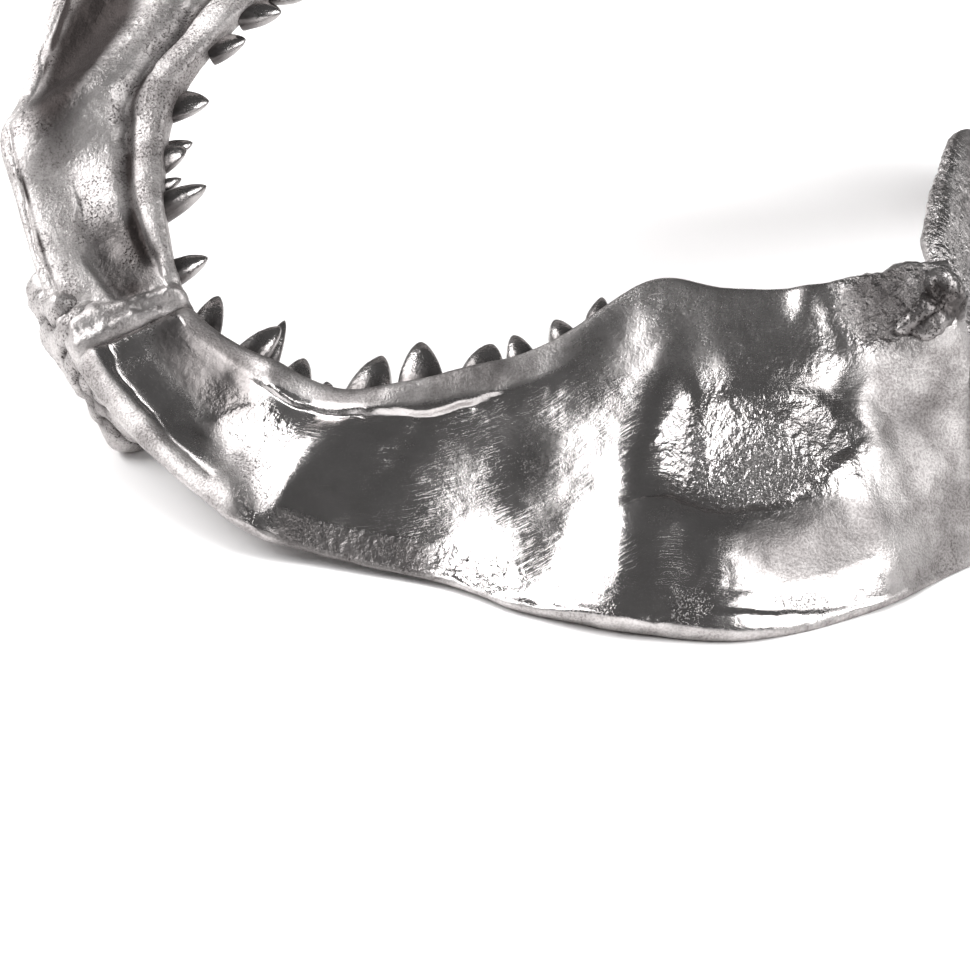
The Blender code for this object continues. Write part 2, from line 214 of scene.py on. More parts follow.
UPPER_FOLDS = (
    ("step", "shelf under the lip", ((0.2, 0.16), (1.5, 0.18), (3.2, 0.17), (4.6, 0.14)), 1.3, 1.5),
    ("swell", "groove under the lip", ((0.4, 0.20), (2.0, 0.23), (4.2, 0.20)), 3.4, -1.2),
    ("crease", "crease along the edge", ((0.6, 0.90), (2.0, 0.91), (4.0, 0.90), (6.0, 0.90)), 1.4, -1.3),
    ("swell", "diagonal ridge", ((0.9, 0.85), (1.6, 0.55), (2.8, 0.38)), 8.0, 1.8),
    ("swell", "diagonal hollow", ((2.2, 0.72), (3.4, 0.60), (4.4, 0.52)), 9.0, -1.6),
    ("swell", "lobe before the joint", ((6.0, 0.45), (6.6, 0.50)), 12.0, 1.6),
)

# How far a step reaches from its path and past its ends, and how far the paths wander, in millimetres.
STEP_REACH = 17.0
STEP_FADE = 6.0
WANDER = 1.3
WANDER_SIZE = 11.0

# Lumpy bodies of gristle: centre, half sizes, and lumps as (direction, spread in degrees, height).
LOWER_MIDDLE = ((-13, -35, -14), (34, 15, 26), (
    ((-0.9, -0.3, 0.3), 32, 5), ((0.6, -0.6, -0.4), 30, 2),
    ((-0.1, -1.0, -0.1), 34, -5), ((0.1, 0.1, -1.0), 34, 8)))
UPPER_MIDDLE = ((0, 233, -14), (27, 17, 19), (
    ((-0.6, 0.5, 0.6), 36, 3), ((0.6, 0.5, 0.6), 36, 3), ((0, 0.9, 0.3), 26, -3)))
JOINT_LUMP = ((140, 197, -9), (15, 15, 12), (
    ((0.6, -0.4, 0.6), 36, 2), ((0.0, -0.2, 1.0), 26, -2), ((0.2, 0.8, 0.3), 40, 2)))

# How the thickness runs across a plate, as in the part's source.
LIP_REACH = 0.12
EDGE_REACH = 0.10
SQUARENESS = 0.45
INNER_SHARE = 0.6
SLOPE_STEP = 0.05

# How an arm ends at the joint, in stations, and how finely it is measured and rounded there.
END_ROUNDING = 0.2
RUN_ON = 0.32
END_ROWS = 14
DENSE_TURNS = 721

# Unevenness of the worked face: widths of its swells, ripples and dents and height of the dents, in
# millimetres, and the share of the dents that polished metal keeps.
SWELL_SIZE = 24.0
RIPPLE_SIZE = 3.2
DENT_SIZE = 8.0
DENT_HEIGHT = 0.13
DENT_LEAST = 0.6

# The seam between the halves, in millimetres, and where round a section the outer face starts and is full.
SEAM_DEPTH = 1.2
SEAM_REACH = 2.0
OUTER_FROM = 0.02
OUTER_FULL = 0.30

# Painted shade in the folds, darker in colour the deeper they sink: the depth where it starts and the
# further depth that would make it full, both in millimetres, and the most that a fold gets.
FOLD_SHADE_FROM = 1.0
FOLD_SHADE_RANGE = 2.6
FOLD_SHADE_MOST = 0.6

# Teeth: depth of the root in millimetres, how flat and full they are, how far the tip bends in millimetres,
# how they taper and round off, and their faint keels and lumps.
ROOT_DEPTH = 5.0
TOOTH_FLATNESS = 0.7
TOOTH_FULLNESS = 1.15
TOOTH_BEND = 1.5
TOOTH_TAPER_POWER = 0.65
ROOT_ROUNDING = 0.06
KEEL_HEIGHT = 0.05
TOOTH_LUMP_SIZE = 4.0
TOOTH_LUMP_HEIGHT = 0.12

# Gristle: size of its wrinkles in millimetres, how they are drawn out and sharpened, the level between
# fold and groove, the depth in millimetres that turns black as painted shade in the grooves, and the most
# darkening a lump gets.
WRINKLE_SIZE = 9.0
WRINKLE_STRETCH = 0.45
WRINKLE_SHARPNESS = 0.7
WRINKLE_LEVEL = 0.45
WRINKLE_SHADE_DEPTH = 2.5
MOST_DARKENING = 0.9

# Points round and along the smaller pieces.
TOOTH_POINTS = (40, 32)
LUMP_POINTS = (220, 150)

# The metal's patterns, in lumps per metre, and its brush marks, in marks per millimetre along and across.
CLOUD_SCALE = 70.0
RIPPLE_SCALE = 420.0
SPECK_SCALE = 1300.0
BRUSH_SCALE = (0.12, 2.6, 1.0)

# Depth of the metal's bumps in metres, and its roughness where it is polished and where it is satin.
PEEL_DEPTH = 0.0009
SCRATCH_DEPTH = 0.0001
SCRATCH_STRENGTH = 0.22
PIT_DEPTH = 0.0007
GRAIN_DEPTH = 0.0003
MIRROR_ROUGHNESS = 0.17
SATIN_ROUGHNESS = 0.54

# Side of the paper floor in metres.
PAPER_SIZE = 14.0

# Camera: place in metres, how far it looks down, its lens and sensor width in millimetres, and how far it
# sees in metres.
CAMERA_PLACE = (-0.04363, -1.54029, 0.67734)
CAMERA_DOWN_DEGREES = 25.0
CAMERA_LENS = 179.58
CAMERA_SENSOR = 36.0
CAMERA_REACH = 50.0

# Soft boxes: name, place, what it looks at, width and height in metres, power in watts, and whether the
# metal mirrors it. The lamp over the paper only lights the paper.
BOX_AIM = (-0.03, -0.13, 0.03)
SOFT_BOXES = (
    ("box_left", (-0.98, 0.06, 0.76), BOX_AIM, (1.25, 0.56), 18.5, True),
    ("box_right", (0.90, -0.55, 0.76), BOX_AIM, (0.85, 0.70), 10.5, True),
    ("paper_lamp", (0.0, 0.2, 2.2), (0.0, 0.1, 0.0), (1.8, 1.8), 46.0, False),
)


def linear(code):
    """A colour's sRGB hex code as linear red, green and blue."""
    parts = [int(code[k:k + 2], 16) / 255 for k in (1, 3, 5)]
    return tuple(c / 12.92 if c <= 0.04045 else ((c + 0.055) / 1.055) ** 2.4 for c in parts)


class JawSizes(bpy.types.PropertyGroup):
    """Sizes of the worked surface, in millimetres."""
    rows: bpy.props.IntProperty(
        name="Rows along an arm", description="Sections along one half of a jaw", default=350, min=40)
    around: bpy.props.IntProperty(
        name="Points round an arm", description="Points in one section", default=270, min=40)
    swell_height: bpy.props.FloatProperty(
        name="Swell height", description="Height of the casting's slow swells, in mm", default=0.45, min=0.0)
    ripple_height: bpy.props.FloatProperty(
        name="Ripple height", description="Height of the ripples where the metal is hammered, in mm",
        default=0.17, min=0.0)


class CastFinish(bpy.types.PropertyGroup):
    """Colours and polish of the metal."""
    bright: bpy.props.FloatVectorProperty(
        name="Bright metal", description="Freshly polished aluminium", subtype="COLOR", size=3,
        default=linear("#CFCBCA"), min=0.0, max=1.0)
    dull: bpy.props.FloatVectorProperty(
        name="Dull metal", description="Aluminium under its grey oxide", subtype="COLOR", size=3,
        default=linear("#8F8A89"), min=0.0, max=1.0)
    # Colour of the dark recesses: partly the metal's own oxide and pits, and partly painted shade in grooves,
    # hollows and folds.
    grime_and_shade: bpy.props.FloatVectorProperty(
        name="Dark recesses", description="Blackened metal left in grooves and pits", subtype="COLOR", size=3,
        default=linear("#3E3938"), min=0.0, max=1.0)


class StudioSettings(bpy.types.PropertyGroup):
    """The floor and the lamps."""
    floor_colour: bpy.props.FloatVectorProperty(
        name="Floor", description="Colour of the seamless white paper", subtype="COLOR", size=3,
        default=linear("#FBFAFA"), min=0.0, max=1.0)
    room_grey: bpy.props.FloatProperty(
        name="Room brightness", description="Brightness of the dim room round the lamps",
        default=0.11, min=0.0)
    lamp_power: bpy.props.FloatProperty(
        name="Lamp power", description="Power of all soft boxes, against the tuned one", default=1.0, min=0.0)


# ---------------------------------------------------------------- shapes, in the jaw's own frame

def station_rows(stations, s):
    """Rows at the stations s on a smooth curve through the table; the front is mirrored at the middle."""
    table = np.asarray(stations, float)
    before_front = table[1] * np.array([-1, 1, 1, -1, 1, 1, 1, 1, 1])
    past_joint = 2 * table[-1] - table[-2]
    padded = np.vstack([before_front, table, past_joint])
    i = np.minimum(s.astype(int), len(table) - 2)
    f = (s - i)[:, None]
    a, b, c, d = (padded[i + k] for k in range(4))
    return 0.5 * (2 * b + (c - a) * f + (2 * a - 5 * b + 4 * c - d) * f**2 + (3 * b - a - 3 * c + d) * f**3)


def unit(vectors):
    """The vectors at length 1."""
    return vectors / np.maximum(np.linalg.norm(vectors, axis=-1, keepdims=True), 1e-12)


def plate_axes(stations, s):
    """Rows, vectors across to the edge, unit vectors along the arm and unit outward face normals."""
    row = station_rows(stations, s)
    last = arm_end(stations)
    ahead = station_rows(stations, np.minimum(s + SLOPE_STEP, last))
    behind = station_rows(stations, np.maximum(s - SLOPE_STEP, 0.0))
    along = unit(ahead[:, :3] + ahead[:, 3:6] - behind[:, :3] - behind[:, 3:6])
    across = row[:, 3:6] - row[:, :3]
    normal = unit(np.cross(across, along))
    normal *= np.sign(normal[:, 2:3])
    return row, across, along, normal


def relief(forms, s, q):
    """Height of the outer face's forms at stations s and places q across the plate."""
    height = np.zeros(np.broadcast(s, q).shape)
    for _, at_s, at_q, half_s, half_q, lean, rise in forms:
        x = (s - at_s - lean * (q - at_q)) / half_s
        y = (q - at_q) / half_q
        height += rise * np.exp(-x * x - y * y)
    return height


def step_up(low, high, value):
    """0 below low, 1 above high, smooth between."""
    t = np.clip((value - low) / (high - low), 0.0, 1.0)
    return t * t * (3 - 2 * t)


def bell(value, middle, half):
    """1 at the middle, falling off smoothly."""
    return np.exp(-((value - middle) / half) ** 2)


def noise(points, size, seed):
    """Smooth noise from -1 to 1 at points in millimetres; size is the width of one lump."""
    p = points / size + seed * 17.31
    cell = np.floor(p).astype(np.int64)
    f = p - cell
    f = f * f * (3 - 2 * f)
    total = np.zeros(points.shape[:-1])
    for corner in range(8):
        pick = np.array([(corner >> k) & 1 for k in range(3)])
        x, y, z = np.moveaxis(cell + pick, -1, 0)
        draw = (x * 73856093) ^ (y * 19349663) ^ (z * 83492791) ^ (seed * 2654435761)
        draw = (draw ^ (draw >> 13)) * 1274126177 & 0xFFFFFFFF
        draw = (draw ^ (draw >> 16)) & 0xFFFF
        weight = np.prod(np.where(pick, f, 1 - f), axis=-1)
        total += weight * (draw / 32767.5 - 1)
    return total


def layered(points, size, seed, layers=3):
    """Noise with finer and lower layers on it."""
    return sum(noise(points, size / 2**k, seed + k) * 0.5**k for k in range(layers))


def surface_normals(points):
    """Outward normals of a closed tube of points (rows, around, 3)."""
    along = np.gradient(points, axis=0)
    around = np.roll(points, -1, axis=1) - np.roll(points, 1, axis=1)
    normals = unit(np.cross(along, around))
    centre = points.mean(axis=1, keepdims=True)
    outward = np.einsum("ijk,ijk->ij", normals, points - centre).mean()
    return normals * math.copysign(1.0, outward)


def arm_end(stations):
    """Station where an arm ends: the lower ones run on a little into the joint."""
    return len(stations) - 1 + (RUN_ON if stations is LOWER_STATIONS else 0.0)


def arm_shell(stations, forms, s, turn):
    """Points of the plain arm at stations s and turns round the section, with q and the side of the plate."""
    row, across, _, normal = plate_axes(stations, s)
    lip, plate, edge = (row[:, k:k + 1] for k in (6, 7, 8))
    q = (1 - np.cos(turn)) / 2
    side = np.sin(turn)
    half = 0.5 * (plate + (lip - plate) * np.exp(-(q / LIP_REACH) ** 2)
                  + (edge - plate) * np.exp(-((1 - q) / EDGE_REACH) ** 2))
    swell = np.sign(side) * np.abs(side) ** SQUARENESS
    form = relief(forms, s[:, None], q) * np.abs(swell)
    offset = half * swell + np.where(side > 0, form, INNER_SHARE * form)
    last = arm_end(stations)
    into_end = np.clip((s - (last - END_ROUNDING)) / END_ROUNDING, 0.0, 1.0)
    offset *= np.sqrt(np.maximum(1 - into_end**2, 1e-4))[:, None]
    points = row[:, None, :3] + across[:, None] * q[..., None] + normal[:, None] * offset[..., None]
    return points, q, side


def arm_points(stations, forms, rows, around):
    """Evenly spaced points round every section, with station, q, side, millimetres across, the plate's
    width and millimetres along."""
    last = arm_end(stations)
    straight = np.linspace(0.0, last - END_ROUNDING, rows - END_ROWS)
    rounded = last - END_ROUNDING + END_ROUNDING * np.sin(np.linspace(0, math.pi / 2, END_ROWS + 1)[1:])
    s = np.concatenate([straight, rounded])
    dense = np.tile(np.linspace(0, 2 * math.pi, DENSE_TURNS), (rows, 1))
    rough, _, _ = arm_shell(stations, forms, s, dense)
    steps = np.linalg.norm(np.diff(rough, axis=1), axis=2)
    reach = np.concatenate([np.zeros((rows, 1)), np.cumsum(steps, axis=1)], axis=1)
    share = np.arange(around) / around
    turn = np.stack([np.interp(share * r[-1], r, t) for r, t in zip(reach, dense)])
    points, q, side = arm_shell(stations, forms, s, turn)
    row = station_rows(stations, s)
    width = np.linalg.norm(row[:, 3:6] - row[:, :3], axis=1)[:, None]
    middle = (row[:, :3] + row[:, 3:6]) / 2
    way = np.concatenate([[0], np.cumsum(np.linalg.norm(np.diff(middle, axis=0), axis=1))])
    return points, s[:, None] + 0 * q, q, side, q * width, width, way[:, None] + 0 * q


def from_path(way, across, path):
    """Distance in mm from a path on the face, the side of it (-1 towards the lip and 1 towards the edge where
    it runs towards the joint), and how far past its ends a point lies."""
    nearest = np.full(way.shape, 1e9)
    side = np.zeros(way.shape)
    past = np.zeros(way.shape)
    last = len(path) - 2
    for k, ((x0, y0), (x1, y1)) in enumerate(zip(path, path[1:])):
        dx, dy = x1 - x0, y1 - y0
        length = math.hypot(dx, dy)
        raw = ((way - x0) * dx + (across - y0) * dy) / length**2
        share = np.clip(raw, 0, 1)
        gap_x, gap_y = way - x0 - share * dx, across - y0 - share * dy
        gap = np.hypot(gap_x, gap_y)
        closer = gap < nearest
        over = (np.maximum(-raw, 0) * (k == 0) + np.maximum(raw - 1, 0) * (k == last)) * length
        nearest = np.where(closer, gap, nearest)
        side = np.where(closer, dx * gap_y - dy * gap_x, side)
        past = np.where(closer, over, past)
    return nearest, np.sign(side), past


def fold_height(kind, distance, side, past, half, height):
    """Height of one fold at a distance from its path."""
    if kind == "swell":
        return height * np.exp(-(distance / half) ** 2)
    if kind == "crease":
        return height * np.exp(-distance / half)
    inside = step_up(-half, half, -side * distance)
    return height * inside * bell(distance, 0, STEP_REACH) * bell(past, 0, STEP_FADE)


def folds_on(folds, s, q, way, width, points, seed):
    """Height of all folds of a face, whose paths wander a little as worked metal does."""
    rows_s, rows_way, rows_width = s[:, 0], way[:, 0], width[:, 0]
    height = np.zeros(s.shape)
    along = way + WANDER * layered(points, WANDER_SIZE, seed + 20)
    from_lip = q * width + WANDER * layered(points, WANDER_SIZE, seed + 30)
    for kind, _, path, half, rise in folds:
        places = [(np.interp(at_s, rows_s, rows_way), at_q * np.interp(at_s, rows_s, rows_width))
                  for at_s, at_q in path]
        distance, side, past = from_path(along, from_lip, places)
        height += fold_height(kind, distance, side, past, half, rise)
    return height


def oval(s, q, at_s, at_q, half_s, half_q, soft=0.35):
    """1 inside an oval on the face, 0 outside, with a soft rim."""
    r = np.hypot((s - at_s) / half_s, (q - at_q) / half_q)
    return 1 - step_up(1 - soft, 1 + soft, r)


def strongest(*masks):
    """The highest of several masks at each point."""
    return np.max(masks, axis=0)


def right_lower_skin(s, q, place):
    """How satin, hammered, pitted and dark the polished arm is at each point, the dark partly its own tone
    and
    partly painted shade: 0 is not at all and 1 fully, and the torn joint is hammered deeper still."""
    patchy = layered(place, 14, seed=77)
    lip = (1 - step_up(0.11, 0.17, q)) * (1 - step_up(3.8, 4.8, s))
    front_edge = step_up(0.80, 0.88, q) * (1 - step_up(0.9, 1.4, s))
    front_face = oval(s, q, 1.15, 0.72, 0.42, 0.20)
    low_front = step_up(0.80, 0.88, q) * step_up(1.3, 1.7, s) * (1 - step_up(2.7, 3.3, s))
    end = step_up(6.8, 7.5, s) * step_up(0.12, 0.3, q)
    thin_edge = step_up(0.978, 0.986, q)
    joint = oval(s, q, 7.65, 0.09, 0.45, 0.13, 0.6)
    hump = (1 - step_up(0.22, 0.42, q)) * step_up(3.8, 4.6, s)
    hollow = oval(s, q, 6.1, 0.50, 1.0, 0.19)
    swelling = oval(s, q, 6.6, 0.76, 0.75, 0.11)
    satin = strongest(0.65 * lip, 0.95 * front_edge, 0.6 * front_face, 0.3 * low_front, 0.8 * end,
                      0.7 * thin_edge, 0.25 * joint, 0.35 * hump, 0.35 * hollow, 0.55 * swelling,
                      0.14 + 0.12 * patchy)
    front_trough = oval(s, q, 1.1, 0.42, 0.45, 0.16)
    flange_dip = oval(s, q, 3.4, 0.90, 0.5, 0.08)
    upper_bank = oval(s, q, 6.6, 0.2, 0.7, 0.1)
    hammer = strongest(1.2 * hollow, 0.8 * front_trough, 0.9 * flange_dip, 6.0 * joint, 0.7 * low_front,
                       0.5 * upper_bank, 0.12 + 0 * s)
    pits = strongest(0.3 * joint, 0.55 * low_front, 0.35 * step_up(0.86, 0.92, q), 0.5 * front_face,
                     0.12 + 0 * s)
    # Painted shade: the hollow panel beside the middle, the band below the muscle hollow and the end of that
    # hollow are darkened in colour; the joint and the pitted low front are darker metal.
    front_panel_shade = oval(s, q, 0.55, 0.27, 0.58, 0.26)
    shade_below_hollow = oval(s, q, 6.6, 0.77, 0.8, 0.12)
    shade_at_hollow_end = oval(s, q, 7.0, 0.42, 0.4, 0.1)
    dark = strongest(0.65 * low_front, 0.8 * front_panel_shade, joint * (0.72 + 0.3 * patchy),
                     end * step_up(0.3, 0.5, q) * (0.3 + 0.25 * patchy), 0.4 * shade_below_hollow,
                     0.25 * shade_at_hollow_end, 0.55 * lip * step_up(-0.4, 0.4, patchy),
                     0.18 * step_up(0.0, 0.5, patchy))
    return satin, hammer, pits, dark


def left_lower_skin(s, q, place):
    """The same for the sand-cast arm, which was only brushed over after casting."""
    patchy = layered(place, 18, seed=78)
    hollow = oval(s, q, 0.50, 0.34, 0.36, 0.25)
    band = oval(s, q, 2.4, 0.68, 1.2, 0.22)
    ridge = oval(s, q, 1.6, 0.42, 0.9, 0.16)
    folds = 1 - step_up(0.22, 0.34, s)
    satin = np.clip(0.85 + 0.15 * patchy - 0.35 * hollow - 0.2 * band - 0.2 * folds - 0.12 * ridge, 0, 1)
    pits = np.clip(0.6 - 0.45 * folds - 0.4 * band, 0, 1)
    crease_shade_line = bell(q, 0.90, 0.02) * step_up(0.3, 0.6, s)
    groove = bell(q, 0.21, 0.045) * step_up(0.4, 0.9, s)
    stains = 0.15 * step_up(0.0, 0.6, patchy)
    broken_crease_shade = crease_shade_line * step_up(-0.5, 0.3, patchy)
    # Painted shade: the oval hollow, the diagonal band, the groove under the lip and the broken line along
    # the edge crease are darkened in colour; the stains are the metal's own.
    dark = np.clip(0.85 * hollow + stains + band + broken_crease_shade + 0.9 * groove, 0, 1)
    return satin, 0.4 + 0 * s, pits, dark


def upper_skin(s, q, place):
    """The same for an upper arm, which is rougher before the joint."""
    patchy = layered(place, 18, seed=79)
    near_joint = step_up(4.8, 5.8, s)
    satin = np.clip(0.6 + 0.25 * patchy - 0.2 * near_joint, 0, 1)
    dark = (0.15 + 0.35 * near_joint) * step_up(-0.2, 0.6, patchy)
    return satin, 0.3 + 2.0 * near_joint, 0.6 + 0 * s, dark


def worked_arm(stations, forms, folds, skin, seed, sizes):
    """Points of a finished arm, and what its material reads."""
    points, s, q, side, from_lip, width, way = arm_points(stations, forms, sizes.rows, sizes.around)
    outer = step_up(OUTER_FROM, OUTER_FULL, side)
    height = outer * folds_on(folds, s, q, way, width, points, seed)
    height -= SEAM_DEPTH * bell(points[..., 0], 0.0, SEAM_REACH) * step_up(0.0, 0.1, np.abs(side))
    satin, hammer, pits, dark = skin(s, q, points)
    # Painted shade: the deeper a fold sinks, the darker its colour is made.
    dark = np.maximum(dark, np.clip((-height - FOLD_SHADE_FROM) / FOLD_SHADE_RANGE, 0, FOLD_SHADE_MOST))
    height += sizes.swell_height * layered(points, SWELL_SIZE, seed, 2)
    height += sizes.ripple_height * hammer * layered(points, RIPPLE_SIZE, seed + 5)
    height += DENT_HEIGHT * (DENT_LEAST + satin) * layered(points, DENT_SIZE, seed + 9)
    last = arm_end(stations)
    height *= 1 - step_up(last - END_ROUNDING, last, s)
    normals = surface_normals(points)
    points = points + normals * height[..., None]
    points[..., 0] = np.maximum(points[..., 0], MIDDLE_GAP)
    readings = {"lengthwise": np.stack([way, from_lip * np.sign(side), 0 * way], axis=-1),
                "wear": np.stack([satin, hammer, pits], axis=-1), "grime_and_shade": dark}
    return points, readings


def laid_down(points, folded):
    """Points from the jaw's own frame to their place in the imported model, in metres."""
    if folded:
        fold = np.array(Euler((-math.radians(FOLD_DEGREES), 0, 0)).to_matrix())
        points = points @ fold.T + np.array([0, JOINT_BACK, 0])
    turn = np.array(Euler([math.radians(a) for a in POSE_DEGREES]).to_matrix())
    return (points @ turn.T + np.array(POSE_PLACE)) * MM


def on_floor(points):
    """Points that would sink into the floor laid on it, so that the cast rests on small flats."""
    points[..., 2] = np.maximum(points[..., 2], 0.0)
    return points


# ---------------------------------------------------------------- meshes

def deselect():
    """Leaves nothing selected."""
    if bpy.context.object and bpy.context.object.mode != "OBJECT":
        bpy.ops.object.mode_set(mode="OBJECT")
    bpy.ops.object.select_all(action="DESELECT")


def tidy_mesh(piece):
    """Merges doubled points, closes open ends, turns faces outwards and smooths the shading."""
    bpy.context.view_layer.objects.active = piece
    piece.select_set(True)
    bpy.ops.object.mode_set(mode="EDIT")
    bpy.ops.mesh.select_all(action="SELECT")
    bpy.ops.mesh.remove_doubles(threshold=1e-6)
    bpy.ops.mesh.select_all(action="SELECT")
    bpy.ops.mesh.fill_holes(sides=0)
    bpy.ops.mesh.select_all(action="SELECT")
    bpy.ops.mesh.normals_make_consistent(inside=False)
    bpy.ops.object.mode_set(mode="OBJECT")
    bpy.ops.object.shade_smooth()
    piece.select_set(False)
    return piece


def point_attribute(mesh, name, values):
    """Stores one number, or three, for each point of a mesh."""
    kind = "FLOAT" if values.ndim == 1 else "FLOAT_VECTOR"
    layer = mesh.attributes.new(name, kind, "POINT")
    layer.data.foreach_set("value" if kind == "FLOAT" else "vector", values.astype(np.float32).ravel())


def wrapped_sheet(name, points, readings):
    """A grid wrapped round into a tube with its points at the given places."""
    rows, around = points.shape[:2]
    deselect()
    bpy.ops.mesh.primitive_grid_add(x_subdivisions=rows - 1, y_subdivisions=around, size=2.0)
    piece = bpy.context.object
    piece.name = name
    mesh = piece.data
    mesh.name = name
    flat = np.empty(len(mesh.vertices) * 3)
    mesh.vertices.foreach_get("co", flat)
    flat = flat.reshape(-1, 3)
    i = np.rint((flat[:, 0] + 1) / 2 * (rows - 1)).astype(int)
    k = np.rint((flat[:, 1] + 1) / 2 * around).astype(int) % around
    mesh.vertices.foreach_set("co", points[i, k].ravel())
    for key, values in readings.items():
        point_attribute(mesh, key, values[i, k])
    mesh.update()
    return tidy_mesh(piece)


def joined(name, pieces):
    """Several pieces made one."""
    deselect()
    for piece in pieces:
        piece.select_set(True)
    bpy.context.view_layer.objects.active = pieces[0]
    if len(pieces) > 1:
        bpy.ops.object.join()
    whole = bpy.context.object
    whole.name = name
    whole.data.name = name
    whole.select_set(False)
    return whole


def shaped_ball(name, counts, shape):
    """A ball of points, counted round it and from pole to pole, each of them moved by shape(directions)."""
    deselect()
    bpy.ops.mesh.primitive_uv_sphere_add(segments=counts[0], ring_count=counts[1], radius=1.0)
    piece = bpy.context.object
    piece.name = name
    mesh = piece.data
    mesh.name = name
    ball = np.empty(len(mesh.vertices) * 3)
    mesh.vertices.foreach_get("co", ball)
    ball = unit(ball.reshape(-1, 3))
    points, extra = shape(ball)
    mesh.vertices.foreach_set("co", points.ravel())
    for key, values in extra.items():
        point_attribute(mesh, key, values)
    mesh.update()
    return tidy_mesh(piece)


def lump_shape(lump, side, folded, seed, roughness, wrinkles, darkness):
    """How a ball becomes a lumpy body of gristle: swellings, wrinkles and a rough skin."""
    centre, half, swellings = lump

    def shape(ball):
        points = ball * np.array(half)
        for direction, spread, height in swellings:
            aim = unit(np.array(direction, float))
            angle = np.degrees(np.arccos(np.clip(ball @ aim, -1, 1)))
            points = points + ball * (height * np.exp(-(angle / spread) ** 2))[:, None]
        stretched = points * np.array([1.0, WRINKLE_STRETCH, 1.0])
        crease = np.abs(noise(stretched, WRINKLE_SIZE, seed)) ** WRINKLE_SHARPNESS
        rough = layered(points, WRINKLE_SIZE, seed + 3, 4)
        height = wrinkles * (crease - WRINKLE_LEVEL) + roughness * rough
        points = points + ball * height[:, None] + np.array(centre)
        points = points * np.array([side, 1, 1])
        zero = np.zeros(len(ball))
        # Painted shade: the grooves between the wrinkles are darker in colour, on top of a joint's own
        # darkness.
        return on_floor(laid_down(points, folded)), {
            "lengthwise": np.stack([points[:, 1], points[:, 0], zero], axis=-1),
            "wear": np.stack([0.7 - 0.6 * darkness + zero, 0.4 + zero, 0.8 + zero], axis=-1),
            "grime_and_shade": np.clip(darkness - height / WRINKLE_SHADE_DEPTH, 0, MOST_DARKENING)}

    return shape


def tooth_shape(stations, tooth, side, folded, seed):
    """How a ball becomes a blunt, slightly bent tooth sunk in the lip."""
    s, height, width, lean, behind = tooth
    row, across, along, normal = (a[0] for a in plate_axes(stations, np.array([s])))
    inward = unit(-across)
    axis = inward * math.cos(math.radians(lean)) + along * math.sin(math.radians(lean))
    depth = unit(np.cross(along, axis))
    breadth = np.cross(axis, depth)
    root = row[:3] - normal * behind - axis * ROOT_DEPTH
    length = height + ROOT_DEPTH

    def shape(ball):
        place = (1 + ball[:, 2]) / 2
        rounding = np.clip(place / ROOT_ROUNDING, 0, 1) ** 0.5
        radius = TOOTH_FULLNESS * width / 2 * np.maximum(1 - place**2, 0) ** TOOTH_TAPER_POWER * rounding
        turn = np.arctan2(ball[:, 1], ball[:, 0])
        keel = 1 + KEEL_HEIGHT * np.cos(3 * turn + seed)
        points = (root + np.outer(place * length, axis) - np.outer(TOOTH_BEND * place**2, normal)
                  + np.outer(radius * keel * np.cos(turn), breadth)
                  + np.outer(radius * keel * TOOTH_FLATNESS * np.sin(turn), depth))
        points = points + TOOTH_LUMP_HEIGHT * layered(points, TOOTH_LUMP_SIZE, seed)[:, None] * ball
        points = points * np.array([side, 1, 1])
        zero = np.zeros(len(ball))
        # A tooth is darker towards its root, where it sinks into the lip.
        reading = {"lengthwise": np.stack([place * length, turn * 4, zero], axis=-1),
                   "wear": np.stack([0.1 + zero, 0.3 + zero, 0.1 + zero], axis=-1),
                   "grime_and_shade": 0.75 * (1 - step_up(0.2, 0.75, place)) + 0.1}
        return laid_down(points, folded), reading

    return shape


# ---------------------------------------------------------------- materials

def add(tree, kind, settings=None, links=None):
    """Adds a node with its settings and its links from other sockets."""
    node = tree.nodes.new(kind)
    for key, value in (settings or {}).items():
        if key in node.inputs:
            node.inputs[key].default_value = value
        else:
            setattr(node, key, value)
    for key, source in (links or {}).items():
        tree.links.new(source, node.inputs[key])
    return node


def ramp(tree, source, low, high, dark=0.0, light=1.0):
    """Turns a number between low and high into one between dark and light."""
    settings = {"interpolation_type": "SMOOTHSTEP", "From Min": low, "From Max": high,
                "To Min": dark, "To Max": light}
    return add(tree, "ShaderNodeMapRange", settings, {"Value": source}).outputs["Result"]


def mixed(tree, factor, a, b):
    """A colour between a and b."""
    node = add(tree, "ShaderNodeMix", {"data_type": "RGBA"})
    tree.links.new(factor, node.inputs[0])
    for socket, value in ((node.inputs[6], a), (node.inputs[7], b)):
        if isinstance(value, bpy.types.NodeSocket):
            tree.links.new(value, socket)
        else:
            socket.default_value = (*value, 1.0)
    return node.outputs[2]


def math_of(tree, operation, a, b):
    """One sum or product of two numbers or sockets."""
    node = add(tree, "ShaderNodeMath", {"operation": operation})
    for socket, value in zip(node.inputs, (a, b)):
        if isinstance(value, bpy.types.NodeSocket):
            tree.links.new(value, socket)
        else:
            socket.default_value = value
    return node.outputs[0]


def noise_at(tree, vector, scale, detail, roughness):
    """The strength of a noise pattern read at a vector."""
    settings = {"Scale": scale, "Detail": detail, "Roughness": roughness}
    return add(tree, "ShaderNodeTexNoise", settings, {"Vector": vector}).outputs["Fac"]


